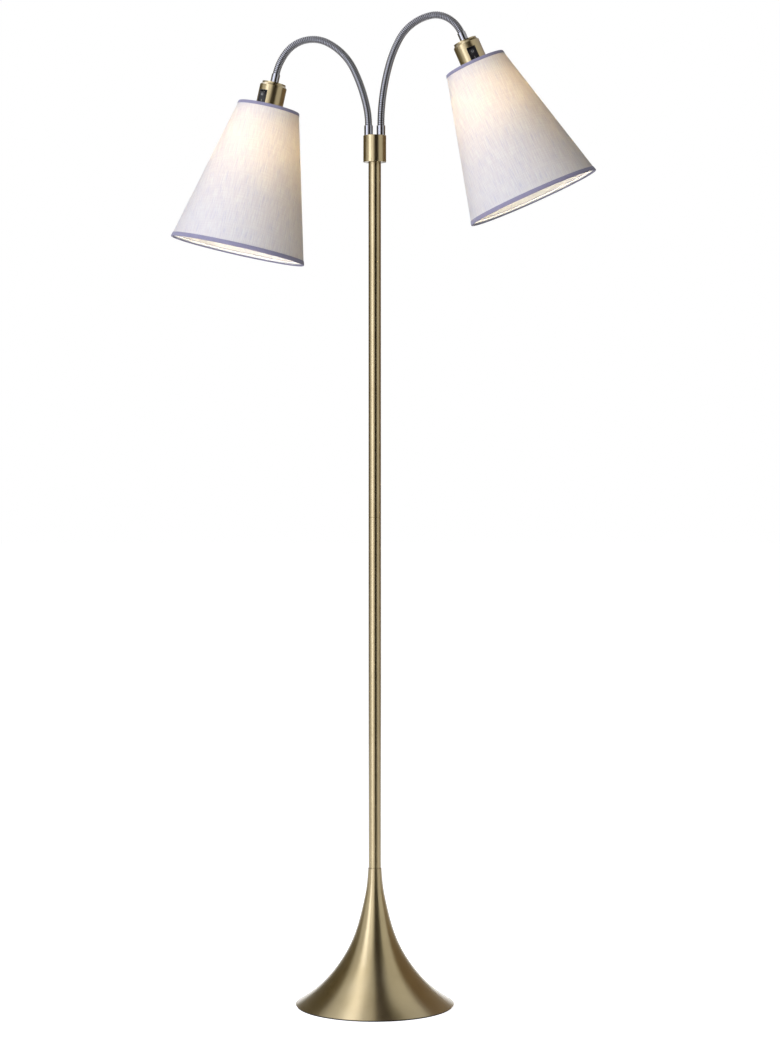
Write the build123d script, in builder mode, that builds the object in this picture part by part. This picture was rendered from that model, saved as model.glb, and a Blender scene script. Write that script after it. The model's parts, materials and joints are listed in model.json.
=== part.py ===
from build123d import *
import os
from math import atan2, cos, degrees, hypot, radians, sin, tan

os.makedirs("parts", exist_ok=True)

# Floor lamp with two flexible arms: a spun trumpet base, a two-piece pole, a hub, and on each arm a lampholder
# with a cone shade. All sizes are in millimetres. The origin is on the floor at the pole's axis, +Z is up, the
# arms lie in the XZ plane and the lamp is seen from -Y.

# fits
fit_gap = 0.05  # radial play of a piece that seats in another
clearance = 0.3  # room between faces that move past each other

# base
base_radius = 115.0
pad_height = 2.0
pad_inset = 1.5
shell_wall = 1.2
neck_height = 200.0
neck_radius = 9.7
flare_shares = (  # steps of the spun flare: share of the way out from neck to rim, and of the way up to the neck
    (0.8794, 0.0404),
    (0.6448, 0.1414),
    (0.4036, 0.2929),
    (0.1985, 0.4949),
    (0.0636, 0.7475),
)
rim_slope = (-1.65, 1.0)
neck_slope = (-0.06, 1.0)
weight_height = 16.0
boss_radius = 42.0
recess_radius = 33.0
recess_height = 37.0
web_height = 12.0
groove_width = 19.0
groove_height = 14.0
tie_radius = 5.0
tie_bore = 3.9
washer_radius = 15.0
washer_height = 2.0
base_nut_flats = 17.0
base_nut_height = 6.0
tie_stub = 1.0  # thread that shows below the nut
inlet_height = 9.0
grommet_radius = 5.2
grommet_bore = 3.6
grommet_length = 15.0
grommet_inset = 6.0  # from the rim to the outer face of the grommet
terminal_length = 16.0
terminal_width = 15.0
terminal_height = 13.0
terminal_inset = 29.0  # from the rim to the back of the terminal block

# pole
pole_radius = 9.0
pole_wall = 1.2
pole_seam = 709.0
pole_top = 1220.6
seam_chamfer = 0.3
bush_length = 24.0
bush_spigot = 14.0
bush_spigot_radius = 8.2
coupler_length = 40.0
coupler_bore = 5.0
lead_radius = 2.7
lead_bend = 20.0

# hub
hub_radius = 16.5
hub_wall = 1.2
hub_height = 38.3
hub_floor = 3.5
plate_height = 4.0
plate_ledge = 0.4
spigot_radius = 6.0
spigot_bore = 3.5
spigot_length = 10.5
hub_nut_flats = 16.0
hub_nut_height = 4.5
block_width = 24.0
block_depth = 11.0
block_height = 9.0
block_gap = 3.0

# gooseneck arms: each stretch of the centreline has a length and a turn in degrees
arm_spread = 8.9
stem_radius = 4.0
stem_bore = 2.9
stem_length = 13.0
stem_nut_flats = 11.0
stem_nut_height = 4.0
ferrule_radius = 6.25
ferrule_height = 14.5
ferrule_socket = 11.0
rib_pitch = 2.6
rib_crest = 5.25
rib_valley = 4.7
neck_bore = 3.2
arm_lead_radius = 2.2
tip_ferrule_radius = 6.0
tip_ferrule_length = 13.0
tip_socket = 11.0
tip_stem_length = 10.0
left_stretches = ((26.4, 11.8), (57.0, 14.0), (53.7, 36.5), (66.9, 79.6), (35.5, 25.65))
right_stretches = ((87.5, 15.4), (39.3, 12.3), (58.7, 49.5), (23.7, 38.3), (30.9, 40.7))
bend_places = (70.0, 150.0, 226.0)  # distance of each bending point along the neck from the lower ferrule

# lampholder, measured along its axis from the top disc
cover_radius = 19.5
cover_disc_radius = 17.0
cover_disc_height = 2.0
cover_shoulder = 5.0
cover_length = 42.0
cover_wall = 1.0
window_width = 13.0
window_start = 13.5
window_length = 22.0
left_window_turn = 37.0
right_window_turn = 7.0
holder_nut_height = 4.0
holder_nut_flats = 14.0
body_start = 12.5
flange_radius = 22.0
flange_height = 2.5
skirt_radius = 19.6
skirt_length = 18.0
socket_start = 26.0
bezel_proud = 0.4
bezel_rim = 1.3
pocket_depth = 3.0
rocker_pin_place = 16.0
rocker_pin_radius = 1.2
rocker_pin_reach = 1.0
rocker_back = 1.6
rocker_rise = 4.4
rocker_dish = 0.6
rocker_lean = 8.0
shell_radius = 14.1
shell_thickness = 0.6
shell_start = 4.0
shell_length = 22.0
contact_radius = 4.0
contact_height = 2.0
ring_radius = 26.0
ring_height = 8.0

# bulb
cap_radius = 13.2
cap_length = 25.0
cap_tip_radius = 4.5
cap_tip_height = 2.0
bulb_radius = 30.0
bulb_length = 82.0
bulb_wall = 1.0
bulb_neck_length = 14.0

# shade, measured along the lampholder's axis
shade_start = 35.7
shade_top_radius = 44.2
shade_bottom_radius = 97.5
shade_height = 210.0
shade_wall = 1.0
trim_wall = 0.6
top_trim_width = 4.5
bottom_trim_width = 6.0
wire_radius = 1.5
wire_inset = 3.0
fitter_height = 1.5
fitter_radius = 30.0
fitter_play = 0.45
spoke_start = 28.5
spoke_radius = 1.2
spoke_count = 3

# worked out from the sizes above
flare_steps = tuple(
    (neck_radius + out * (base_radius - neck_radius), pad_height + up * (neck_height - pad_height))
    for out, up in flare_shares
)
grommet_reach = base_radius - grommet_inset
terminal_reach = base_radius - terminal_inset
pole_inner = pole_radius - pole_wall
neck_inner = neck_radius - shell_wall
recess_top = pad_height + recess_height
boss_top = recess_top + web_height
washer_bottom = recess_top - washer_height
base_nut_bottom = washer_bottom - base_nut_height
tie_bottom = base_nut_bottom - tie_stub
hub_inner = hub_radius - hub_wall
hub_top = pole_top + hub_height
plate_bottom = hub_top - plate_height
block_bottom = pole_top + spigot_length + block_gap
block_top = block_bottom + block_height
ferrule_top = hub_top + ferrule_height
ball_radius = rib_crest
body_radius = cover_radius - cover_wall - fit_gap
flange_end = cover_length + flange_height
skirt_end = flange_end + skirt_length
fitter_end = flange_end + fitter_height
frame_depth = cover_radius + bezel_proud - rocker_pin_place
pocket_width = window_width - 2 * bezel_rim
pocket_length = window_length - 2 * bezel_rim
rocker_middle = window_start + window_length / 2
cap_end = socket_start + contact_height + cap_tip_height + cap_length
cone_angle = degrees(atan2(shade_bottom_radius - shade_top_radius, shade_height))
slant_length = hypot(shade_height, shade_bottom_radius - shade_top_radius)


def save(piece, label):
    """Name a finished piece and write its file."""
    piece.part.label = label
    export_step(piece.part, f"parts/{label}.step")


def flare_radius(height):
    """Radius of the spun flare at a height, straight between its steps."""
    rows = ((base_radius, pad_height), *flare_steps, (neck_radius, neck_height))
    for (low_radius, low), (high_radius, high) in zip(rows, rows[1:]):
        if height <= high:
            share = (height - low) / (high - low)
            return low_radius + share * (high_radius - low_radius)
    return neck_radius


# ---------------------------------------------------------------- base


def make_base_pad():
    """Soft pad under the base, the face that rests on the floor."""
    with BuildPart() as pad:
        with BuildSketch():
            Circle(base_radius - pad_inset)
            Circle(recess_radius, mode=Mode.SUBTRACT)
        extrude(amount=pad_height)
    save(pad, "base_pad")


def make_base_shell():
    """Spun trumpet shell, from its rim on the pad to the neck under the pole."""
    rim = (base_radius, pad_height)
    neck = (neck_radius, neck_height)
    with BuildPart() as shell:
        with BuildSketch(Plane.XZ):
            with BuildLine():
                outer = Spline(rim, *flare_steps, neck, tangents=(rim_slope, neck_slope))
                Line(outer @ 1, (0, neck_height))
                Line((0, neck_height), (0, pad_height))
                Line((0, pad_height), outer @ 0)
            make_face()
        revolve(axis=Axis.Z)
        with BuildSketch(Plane.XZ):
            with BuildLine():
                start = Vector(base_radius - 2 * shell_wall, pad_height)
                steps = [
                    Vector(*point) - Vector(shell_wall, 0) * hypot(1, slope_at(point[1]))
                    for point in flare_steps
                ]
                inner = Spline(start, *steps, (neck_inner, neck_height), tangents=(rim_slope, neck_slope))
                Line(inner @ 1, (0, neck_height))
                Line((0, neck_height), (0, pad_height))
                Line((0, pad_height), inner @ 0)
            make_face()
        revolve(axis=Axis.Z, mode=Mode.SUBTRACT)
        inlet = Plane(origin=(0, 0, inlet_height), x_dir=(1, 0, 0), z_dir=(0, 1, 0))
        with BuildSketch(inlet):
            Circle(grommet_radius + fit_gap)
        extrude(amount=base_radius, mode=Mode.SUBTRACT)
        chamfer(shell.edges().filter_by(GeomType.CIRCLE).group_by(Axis.Z)[-1].sort_by(SortBy.RADIUS)[-1:], 0.4)
    save(shell, "base_shell")


def slope_at(height):
    """Change of the flare's radius for each millimetre of height."""
    step = 2.0
    low = max(height - step, pad_height)
    high = min(height + step, neck_height)
    return (flare_radius(high) - flare_radius(low)) / (high - low)


def inside_radius(height):
    """Radius that fits inside the shell at a height, with room for its wall."""
    return flare_radius(height) - (shell_wall + clearance) * hypot(1, slope_at(height)) - clearance


def make_base_weight():
    """Cast weight: a disc with a boss, a recess for the nut and a groove for the lead."""
    disc_top = pad_height + weight_height
    middle = pad_height + weight_height / 2
    with BuildPart() as weight:
        with BuildSketch(Plane.XZ):
            with BuildLine():
                Polyline(
                    (recess_radius, pad_height),
                    (inside_radius(pad_height) - shell_wall, pad_height),
                    (inside_radius(middle) - shell_wall, middle),
                    (inside_radius(disc_top) - shell_wall, disc_top),
                    (boss_radius, disc_top),
                    (boss_radius, boss_top),
                    (tie_radius + fit_gap, boss_top),
                    (tie_radius + fit_gap, recess_top),
                    (recess_radius, recess_top),
                    close=True,
                )
            make_face()
        revolve(axis=Axis.Z)
        with Locations((0, recess_radius - clearance, pad_height)):
            Box(
                groove_width,
                base_radius,
                groove_height,
                align=(Align.CENTER, Align.MIN, Align.MIN),
                mode=Mode.SUBTRACT,
            )
    save(weight, "base_weight")


def make_base_fixings():
    """Washer and nut under the weight, and the threaded tube that ties the base to the pole."""
    with BuildPart() as washer:
        with BuildSketch(Plane.XY.offset(washer_bottom)):
            Circle(washer_radius)
            Circle(tie_radius + fit_gap, mode=Mode.SUBTRACT)
        extrude(amount=washer_height)
    save(washer, "base_washer")

    with BuildPart() as nut:
        with BuildSketch(Plane.XY.offset(base_nut_bottom)):
            RegularPolygon(base_nut_flats / 2, 6, major_radius=False)
            Circle(tie_radius + fit_gap, mode=Mode.SUBTRACT)
        extrude(amount=base_nut_height)
    save(nut, "base_nut")

    with BuildPart() as tie:
        with BuildSketch(Plane.XY.offset(tie_bottom)):
            Circle(tie_radius)
            Circle(tie_bore, mode=Mode.SUBTRACT)
        extrude(amount=neck_height + bush_length - tie_bottom)
    save(tie, "tie_tube")


def make_mains_entry():
    """Rubber grommet at the back of the base, and the terminal block behind it."""
    inner_end = grommet_reach - grommet_length
    with BuildPart() as grommet:
        with BuildSketch(Plane(origin=(0, inner_end, inlet_height), x_dir=(1, 0, 0), z_dir=(0, 1, 0))):
            Circle(grommet_radius)
            Circle(grommet_bore, mode=Mode.SUBTRACT)
        extrude(amount=grommet_length)
        fillet(grommet.edges().filter_by(GeomType.CIRCLE).group_by(Axis.Y)[-1].sort_by(SortBy.RADIUS)[-1:], 0.6)
    save(grommet, "cord_grommet")

    with BuildPart() as terminal:
        with Locations((0, terminal_reach, pad_height)):
            Box(terminal_width, terminal_length, terminal_height, align=(Align.CENTER, Align.MAX, Align.MIN))
        chamfer(terminal.edges().filter_by(Axis.Y).group_by(Axis.Z)[-1], 1.0)
    save(terminal, "mains_terminal")


# ---------------------------------------------------------------- pole


def make_pole_piece(label, bottom, top):
    """One tube of the pole, with its ends chamfered so that the seam shows as a fine line."""
    with BuildPart() as pole:
        with BuildSketch(Plane.XY.offset(bottom)):
            Circle(pole_radius)
            Circle(pole_inner, mode=Mode.SUBTRACT)
        extrude(amount=top - bottom)
        rims = pole.edges().filter_by(GeomType.CIRCLE).group_by(SortBy.RADIUS)[-1]
        chamfer(rims, seam_chamfer)
    save(pole, label)


def make_pole_fittings():
    """Bush at the pole's foot, coupler at its seam and bush at its top."""
    with BuildPart() as foot:
        with BuildSketch(Plane.XY.offset(neck_height)):
            Circle(pole_inner - fit_gap)
        extrude(amount=bush_length)
        with BuildSketch(Plane.XY.offset(neck_height - bush_spigot)):
            Circle(min(bush_spigot_radius, pole_inner - fit_gap))
        extrude(amount=bush_spigot)
        with BuildSketch(Plane.XY.offset(neck_height - bush_spigot)):
            Circle(tie_radius + fit_gap)
        extrude(amount=bush_spigot + bush_length, mode=Mode.SUBTRACT)
    save(foot, "neck_bush")

    with BuildPart() as coupler:
        with BuildSketch(Plane.XY.offset(pole_seam - coupler_length / 2)):
            Circle(pole_inner - fit_gap)
            Circle(coupler_bore, mode=Mode.SUBTRACT)
        extrude(amount=coupler_length)
    save(coupler, "pole_coupler")

    with BuildPart() as head:
        with BuildSketch(Plane.XY.offset(pole_top - bush_length)):
            Circle(pole_inner - fit_gap)
        extrude(amount=bush_length)
        with BuildSketch(Plane.XY.offset(pole_top)):
            Circle(spigot_radius)
        extrude(amount=spigot_length)
        with BuildSketch(Plane.XY.offset(pole_top - bush_length)):
            Circle(spigot_bore)
        extrude(amount=bush_length + spigot_length, mode=Mode.SUBTRACT)
    save(head, "top_bush")


def make_pole_lead():
    """Lead from the terminal block in the base, up the tie tube and the pole, to the block in the hub."""
    start = terminal_reach - terminal_length
    with BuildPart() as lead:
        with BuildLine() as route:
            FilletPolyline(
                (0, start, inlet_height),
                (0, 0, inlet_height),
                (0, 0, block_bottom),
                radius=lead_bend,
            )
        with BuildSketch(Plane(origin=(0, start, inlet_height), x_dir=(1, 0, 0), z_dir=(0, -1, 0))):
            Circle(lead_radius)
        sweep(path=route.wires()[0])
    save(lead, "pole_lead")


# ---------------------------------------------------------------- hub


def make_hub():
    """Hub cup, the plate that closes it, its nut, and the block that joins the leads inside."""
    with BuildPart() as body:
        with BuildSketch(Plane.XY.offset(pole_top)):
            Circle(hub_radius)
            Circle(spigot_radius + fit_gap, mode=Mode.SUBTRACT)
        extrude(amount=hub_height)
        with BuildSketch(Plane.XY.offset(pole_top + hub_floor)):
            Circle(hub_inner - plate_ledge)
        extrude(amount=hub_height - hub_floor, mode=Mode.SUBTRACT)
        with BuildSketch(Plane.XY.offset(plate_bottom)):
            Circle(hub_inner)
        extrude(amount=plate_height, mode=Mode.SUBTRACT)
        rims = body.edges().filter_by(GeomType.CIRCLE).group_by(SortBy.RADIUS)[-1]
        chamfer(rims, seam_chamfer)
    save(body, "hub_body")

    with BuildPart() as plate:
        with BuildSketch(Plane.XY.offset(plate_bottom)):
            Circle(hub_inner - fit_gap)
            with Locations((-arm_spread, 0), (arm_spread, 0)):
                Circle(stem_radius + fit_gap, mode=Mode.SUBTRACT)
        extrude(amount=plate_height)
    save(plate, "hub_plate")

    with BuildPart() as nut:
        with BuildSketch(Plane.XY.offset(pole_top + hub_floor)):
            RegularPolygon(hub_nut_flats / 2, 6, major_radius=False)
            Circle(spigot_radius + fit_gap, mode=Mode.SUBTRACT)
        extrude(amount=hub_nut_height)
    save(nut, "hub_nut")

    with BuildPart() as block:
        with Locations((0, 0, block_bottom)):
            Box(block_width, block_depth, block_height, align=(Align.CENTER, Align.CENTER, Align.MIN))
        chamfer(block.edges().filter_by(Axis.Z), 1.0)
    save(block, "terminal_block")


def make_ferrules():
    """Lower ferrules on the hub, one for each arm, and the nuts on their stems inside the hub."""
    with BuildPart() as ferrules:
        with BuildSketch(Plane.XY.offset(hub_top)):
            with Locations((-arm_spread, 0), (arm_spread, 0)):
                Circle(ferrule_radius)
        extrude(amount=ferrule_height)
        tops = ferrules.edges().filter_by(GeomType.CIRCLE).group_by(Axis.Z)[-1]
        fillet(tops, 0.4)
        with BuildSketch(Plane.XY.offset(ferrule_top - ferrule_socket)):
            with Locations((-arm_spread, 0), (arm_spread, 0)):
                Circle(rib_crest + fit_gap)
        extrude(amount=ferrule_socket, mode=Mode.SUBTRACT)
        with BuildSketch(Plane.XY.offset(hub_top - stem_length)):
            with Locations((-arm_spread, 0), (arm_spread, 0)):
                Circle(stem_radius)
        extrude(amount=stem_length)
        with BuildSketch(Plane.XY.offset(hub_top - stem_length)):
            with Locations((-arm_spread, 0), (arm_spread, 0)):
                Circle(stem_bore)
        extrude(amount=stem_length + ferrule_height, mode=Mode.SUBTRACT)
    save(ferrules, "lower_ferrules")

    with BuildPart() as nuts:
        with BuildSketch(Plane.XY.offset(plate_bottom - stem_nut_height)):
            with Locations((-arm_spread, 0), (arm_spread, 0)):
                RegularPolygon(stem_nut_flats / 2, 6, major_radius=False, rotation=30)
                Circle(stem_radius + fit_gap, mode=Mode.SUBTRACT)
        extrude(amount=stem_nut_height)
    save(nuts, "stem_nuts")


# ---------------------------------------------------------------- gooseneck


class Arm:
    """Centreline of one arm: side is -1 on the left and 1 on the right."""

    def __init__(self, name, side, stretches, window_turn):
        self.name = name
        self.side = side
        self.window_turn = window_turn
        self.stretches = (*stretches, (tip_ferrule_length, 0.0))
        self.length = sum(length for length, _ in self.stretches)
        self.lean = radians(sum(turn for _, turn in stretches))

    def at(self, distance):
        """Place and heading in the arm's plane: outward reach, height above the ferrule, angle from vertical."""
        reach = 0.0
        height = 0.0
        heading = 0.0
        if distance <= 0:
            return reach, distance, heading
        left = distance
        for length, turn in self.stretches:
            step = min(left, length)
            if turn == 0:
                reach += step * sin(heading)
                height += step * cos(heading)
            else:
                radius = length / radians(turn)
                after = heading + step / radius
                reach += radius * (cos(heading) - cos(after))
                height += radius * (sin(after) - sin(heading))
                heading = after
            left -= step
            if left <= 0:
                break
        return reach, height, heading

    def point(self, distance):
        reach, height, _ = self.at(distance)
        return Vector(self.side * (arm_spread + reach), 0, ferrule_top + height)

    def direction(self, distance):
        heading = self.at(distance)[2]
        return Vector(self.side * sin(heading), 0, cos(heading))

    def plane(self, distance):
        """Section plane, with its X axis always along Y."""
        return Plane(origin=self.point(distance), x_dir=(0, 1, 0), z_dir=self.direction(distance))

    def knots(self, start, end):
        """Distances at which the curvature changes between two places, with both ends."""
        marks = [start]
        total = 0.0
        if start < total < end:
            marks.append(total)
        for length, _ in self.stretches:
            total += length
            if start < total < end:
                marks.append(total)
        return [*marks, end]

    def path(self, start, end):
        """Centreline between two distances, as lines and tangent arcs."""
        with BuildLine() as line:
            marks = self.knots(start, end)
            for low, high in zip(marks, marks[1:]):
                middle = (low + high) / 2
                if abs(self.at(high)[2] - self.at(low)[2]) < 1e-6:
                    Line(self.point(low), self.point(high))
                else:
                    ThreePointArc(self.point(low), self.point(middle), self.point(high))
        return line.wires()[0]

    def head(self):
        """Plane at the holder's top disc: Z along the holder towards the mouth, X towards the switch window."""
        axis = self.direction(self.length)
        outward = Vector(-self.side * cos(self.lean), 0, sin(self.lean))
        turn = radians(self.window_turn)
        facing = Vector(0, -1, 0) * cos(turn) + outward * sin(turn)
        return Plane(origin=self.point(self.length), x_dir=facing, z_dir=axis)


def neck_sections(start, end, ball, socket):
    """Distance and radius of each circle of a ribbed length of tube, with its dome where it ends in a ball."""
    first = start if not socket else start + ball_radius / 4
    count = max(1, round((end - first) / rib_pitch))
    pitch = (end - first) / count
    rows = []
    for rib in range(count):
        low = first + rib * pitch
        rows.append((low, rib_valley))
        rows.append((low + 0.25 * pitch, rib_crest))
        rows.append((low + 0.70 * pitch, rib_crest))
        rows.append((low + 0.95 * pitch, rib_valley))
    if ball:
        for angle in (0, 25, 45):
            rows.append((end + ball_radius * sin(radians(angle)), ball_radius * cos(radians(angle))))
    else:
        rows.append((end, rib_valley))
    return rows


def make_neck(arm, letter, start, end, ball, socket):
    """One ribbed length of the gooseneck: a dome at its upper end turns in the dished lower end of the next."""
    with BuildPart() as neck:
        straight = arm.plane(end)
        for distance, radius in neck_sections(start, end, ball, socket):
            section = straight.offset(distance - end) if distance > end else arm.plane(distance)
            with BuildSketch(section):
                Circle(radius)
        loft(ruled=True)
        with BuildSketch(arm.plane(start)):
            Circle(neck_bore)
        sweep(path=arm.path(start, end), mode=Mode.SUBTRACT)
        if ball:
            with BuildSketch(arm.plane(end)):
                Circle(neck_bore)
            extrude(amount=ball_radius, mode=Mode.SUBTRACT)
        if socket:
            with Locations(arm.point(start)):
                Sphere(ball_radius + clearance, mode=Mode.SUBTRACT)
    save(neck, f"{arm.name}_neck_{letter}")


def make_arm_tube(arm):
    """Four ribbed lengths, the ferrule on the holder and the lead inside them."""
    first, second, third = bend_places
    tube_end = arm.length - tip_ferrule_length + tip_socket
    make_neck(arm, "a", -ferrule_socket + fit_gap, first, ball=True, socket=False)
    make_neck(arm, "b", first, second, ball=True, socket=True)
    make_neck(arm, "c", second, third, ball=True, socket=True)
    make_neck(arm, "d", third, tube_end - fit_gap, ball=False, socket=True)

    with BuildPart() as ferrule:
        with BuildSketch(arm.plane(arm.length - tip_ferrule_length)):
            Circle(tip_ferrule_radius)
        extrude(amount=tip_ferrule_length)
        with BuildSketch(arm.plane(arm.length - tip_ferrule_length)):
            Circle(rib_crest + fit_gap)
        extrude(amount=tip_socket, mode=Mode.SUBTRACT)
        with BuildSketch(arm.plane(arm.length)):
            Circle(stem_radius)
        extrude(amount=tip_stem_length)
        with BuildSketch(arm.plane(arm.length - tip_ferrule_length)):
            Circle(stem_bore)
        extrude(amount=tip_ferrule_length + tip_stem_length, mode=Mode.SUBTRACT)
    save(ferrule, f"{arm.name}_tip_ferrule")

    with BuildPart() as lead:
        with BuildLine() as route:
            below = arm.point(0) - Vector(0, 0, ferrule_top - block_top)
            Line(below, arm.point(0))
            add(arm.path(0, arm.length))
            Line(arm.point(arm.length), (arm.head() * Pos(0, 0, body_start)).position)
        with BuildSketch(Plane(origin=below, x_dir=(0, 1, 0), z_dir=(0, 0, 1))):
            Circle(arm_lead_radius)
        sweep(path=route.wires()[0])
    save(lead, f"{arm.name}_arm_lead")


# ---------------------------------------------------------------- lampholder, bulb and shade


def section_of(head):
    """Half section of the head: X is the radius and Y runs along the holder from its top disc to the mouth."""
    return Plane(origin=head.origin, x_dir=head.x_dir, z_dir=head.x_dir.cross(head.z_dir))


def spin(head, *points):
    """Turned piece from its half section, as corners of radius and distance."""
    with BuildPart() as piece:
        with BuildSketch(section_of(head)):
            with BuildLine():
                Polyline(*points, close=True)
            make_face()
        revolve(axis=Axis(head.origin, head.z_dir))
    return piece


def make_cover(arm, head):
    """Metal cover of the lampholder, with the window for the switch."""
    hole = stem_radius + fit_gap
    with BuildPart() as cover:
        add(
            spin(
                head,
                (hole, 0),
                (cover_disc_radius, 0),
                (cover_disc_radius, cover_disc_height),
                (cover_radius, cover_shoulder),
                (cover_radius, cover_length),
                (cover_radius - cover_wall, cover_length),
                (cover_radius - cover_wall, cover_shoulder + cover_wall / 2),
                (cover_disc_radius - cover_wall, cover_disc_height + cover_wall / 2),
                (cover_disc_radius - cover_wall, cover_wall),
                (hole, cover_wall),
            ).part
        )
        with BuildSketch(head.offset(window_start)):
            with Locations((cover_radius, 0)):
                Rectangle(2 * cover_radius - 2 * contact_radius, window_width)
        extrude(amount=window_length, mode=Mode.SUBTRACT)
    save(cover, f"{arm.name}_holder_cover")

    with BuildPart() as nut:
        with BuildSketch(head.offset(cover_wall)):
            RegularPolygon(holder_nut_flats / 2, 6, major_radius=False)
            Circle(stem_radius + fit_gap, mode=Mode.SUBTRACT)
        extrude(amount=holder_nut_height)
    save(nut, f"{arm.name}_holder_nut")


def make_lampholder(arm, head):
    """Moulded lampholder: body in the cover, switch frame, flange, threaded skirt and socket for the bulb."""
    with BuildPart() as body:
        add(
            spin(
                head,
                (0, body_start),
                (body_radius, body_start),
                (body_radius, cover_length),
                (flange_radius, cover_length),
                (flange_radius, flange_end),
                (skirt_radius, flange_end),
                (skirt_radius, skirt_end),
                (shell_radius + fit_gap, skirt_end),
                (shell_radius + fit_gap, socket_start),
                (0, socket_start),
            ).part
        )
        with BuildSketch(head.offset(window_start + fit_gap)):
            with Locations((rocker_pin_place, 0)):
                Rectangle(frame_depth, window_width - 2 * fit_gap, align=(Align.MIN, Align.CENTER))
        extrude(amount=window_length - 2 * fit_gap)
        with BuildSketch(head.offset(window_start + bezel_rim)):
            with Locations((rocker_pin_place - pocket_depth, 0)):
                Rectangle(cover_radius, pocket_width, align=(Align.MIN, Align.CENTER))
        extrude(amount=window_length - 2 * bezel_rim, mode=Mode.SUBTRACT)
        with BuildSketch(pin_plane(head)):
            Circle(rocker_pin_radius + fit_gap)
        extrude(amount=pocket_width / 2 + rocker_pin_reach + clearance, both=True, mode=Mode.SUBTRACT)
    save(body, f"{arm.name}_lampholder")


def pin_plane(head):
    """Plane across the rocker's pin, with X pointing out of the window and Y along the holder."""
    rocker = Plane(head.location * Location((rocker_pin_place, 0, rocker_middle), (0, -rocker_lean, 0)))
    return Plane(origin=rocker.origin, x_dir=rocker.x_dir, z_dir=-rocker.y_dir)


def make_rocker(arm, head):
    """Rocker of the switch, pressed in at its far end as it is when the lamp is lit."""
    half = pocket_length / 2 - rocker_rise * tan(radians(rocker_lean)) - clearance
    with BuildPart() as rocker:
        with BuildSketch(pin_plane(head)):
            with BuildLine():
                Polyline(
                    (-rocker_back, -half / 2),
                    (rocker_back, -half),
                    (rocker_rise, -half),
                    (rocker_rise - rocker_dish, 0),
                    (rocker_rise, half),
                    (rocker_back, half),
                    (-rocker_back, half / 2),
                    close=True,
                )
            make_face()
        extrude(amount=pocket_width / 2 - clearance, both=True)
        with BuildSketch(pin_plane(head)):
            Circle(rocker_pin_radius)
        extrude(amount=pocket_width / 2 + rocker_pin_reach, both=True)
    save(rocker, f"{arm.name}_switch_rocker")


def make_socket(arm, head):
    """Centre contact and screw shell inside the lampholder."""
    contact = spin(
        head,
        (0, socket_start),
        (contact_radius, socket_start),
        (contact_radius, socket_start + contact_height),
        (0, socket_start + contact_height),
    )
    save(contact, f"{arm.name}_centre_contact")
    shell_bottom = socket_start + shell_start
    screw_shell = spin(
        head,
        (shell_radius - shell_thickness, shell_bottom),
        (shell_radius, shell_bottom),
        (shell_radius, shell_bottom + shell_length),
        (shell_radius - shell_thickness, shell_bottom + shell_length),
    )
    save(screw_shell, f"{arm.name}_screw_shell")


def make_bulb(arm, head):
    """Screw cap and hollow glass of the bulb."""
    tip_start = socket_start + contact_height
    cap_start = tip_start + cap_tip_height
    cap = spin(
        head,
        (0, tip_start),
        (cap_tip_radius, tip_start),
        (cap_tip_radius, cap_start),
        (cap_radius, cap_start),
        (cap_radius, cap_end),
        (0, cap_end),
    )
    save(cap, f"{arm.name}_bulb_cap")

    belly = cap_end + bulb_length - bulb_radius
    with BuildPart() as glass:
        for inset, mode in ((0, Mode.ADD), (bulb_wall, Mode.SUBTRACT)):
            throat = cap_radius - inset
            with BuildSketch(section_of(head)):
                with BuildLine():
                    Line((0, cap_end), (throat, cap_end))
                    Line((throat, cap_end), (throat, cap_end + bulb_neck_length))
                    Spline(
                        (throat, cap_end + bulb_neck_length),
                        (bulb_radius - inset, belly),
                        tangents=((0, 1), (0, 1)),
                    )
                    CenterArc((0, belly), bulb_radius - inset, 0, 90)
                    Line((0, belly + bulb_radius - inset), (0, cap_end))
                make_face()
            revolve(axis=Axis(head.origin, head.z_dir), mode=mode)
    save(glass, f"{arm.name}_bulb_glass")


def slant_plane(head, edge_radius, edge_place):
    """Section plane at a point of the shade's outer face: X square to the face, Y down its slant."""
    tilt = radians(cone_angle)
    outward = head.x_dir * cos(tilt) - head.z_dir * sin(tilt)
    origin = head.origin + head.x_dir * edge_radius + head.z_dir * edge_place
    return Plane(origin=origin, x_dir=outward, z_dir=head.x_dir.cross(head.z_dir))


def make_band(arm, head, plane, width, side, label):
    """Bias tape folded over an edge of the shade: side is 1 where the tape runs down the slant from its edge."""
    fold = fit_gap + trim_wall
    with BuildPart() as band:
        with BuildSketch(plane):
            with Locations((fold, -side * fold)):
                Rectangle(
                    shade_wall + 2 * fold,
                    width + fold,
                    align=(Align.MAX, Align.MIN if side > 0 else Align.MAX),
                )
            with Locations((fit_gap, -side * fit_gap)):
                Rectangle(
                    shade_wall + 2 * fit_gap,
                    width + 2 * fold,
                    align=(Align.MAX, Align.MIN if side > 0 else Align.MAX),
                    mode=Mode.SUBTRACT,
                )
        revolve(axis=Axis(head.origin, head.z_dir))
    save(band, f"{arm.name}_{label}")


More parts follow.
